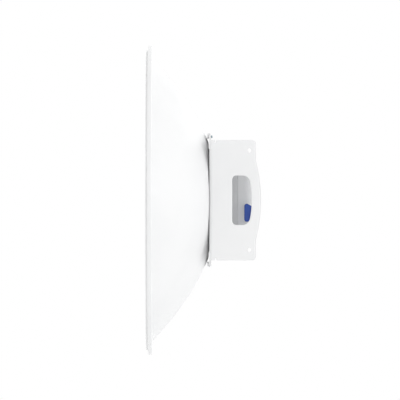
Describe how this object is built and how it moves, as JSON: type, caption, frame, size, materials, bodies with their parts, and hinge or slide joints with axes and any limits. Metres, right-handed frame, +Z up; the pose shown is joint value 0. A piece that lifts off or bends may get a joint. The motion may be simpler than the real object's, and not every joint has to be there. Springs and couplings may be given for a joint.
{
  "type": "parabolic dish antenna",
  "caption": "Small parabolic microwave dish with a central feed, a folded rear bracket with grip windows, and a twist-lock port with a sprung release lever.",
  "frame": {"origin": "on the outer face of the side web of the bracket that has the release lever behind it, level with the dish axis and midway between the bend and the window", "axes": "+X along the dish axis, from the dish towards the port; +Z up; -Y out of the side web"},
  "size_m": [0.2179, 0.5868, 0.5868],
  "materials": {
    "white_coat": "satin powder coat",
    "edge_grey": "matte",
    "bare_aluminium": "turned",
    "lens_plastic": "satin",
    "cap_plastic": "fine grain",
    "port_plastic": "fine grain",
    "black_rubber": "matte",
    "lever_blue": "satin",
    "steel": "zinc plated",
    "ground_zinc": "blue passivated zinc"
  },
  "bodies": {
    "antenna": {"reflector": "white_coat", "reflector_rim": "white_coat", "edge_ring": "edge_grey", "feed_tube": "bare_aluminium", "feed_lens": "lens_plastic", "subreflector": "bare_aluminium", "feed_cap": "cap_plastic", "feed_screw_1": "steel", "feed_screw_2": "steel", "feed_screw_3": "steel", "feed_screw_4": "steel", "bracket": "white_coat", "bracket_bolt_1": "steel", "bracket_bolt_2": "steel", "bracket_bolt_3": "steel", "bracket_bolt_4": "steel", "bracket_nut_1": "steel", "bracket_nut_2": "steel", "bracket_nut_3": "steel", "bracket_nut_4": "steel", "port_base": "port_plastic", "port_shell": "port_plastic", "port_gasket": "black_rubber", "lock_ring": "bare_aluminium", "port_screw_1": "steel", "port_screw_2": "steel", "port_screw_3": "steel", "port_screw_4": "steel", "lever_pin": "steel", "ground_screw": "ground_zinc"},
    "lever": {"lock_lever": "lever_blue"}
  },
  "joints": [
    {"name": "lever_press", "type": "hinge", "parent": "antenna", "child": "lever", "pos_m": [0.0491, 0.0185, -0.0136], "axis": [1, 0, 0], "range_deg": [0, 12], "stiffness_Nm_per_rad": 0.1, "springref_deg": -8.59}
  ]
}
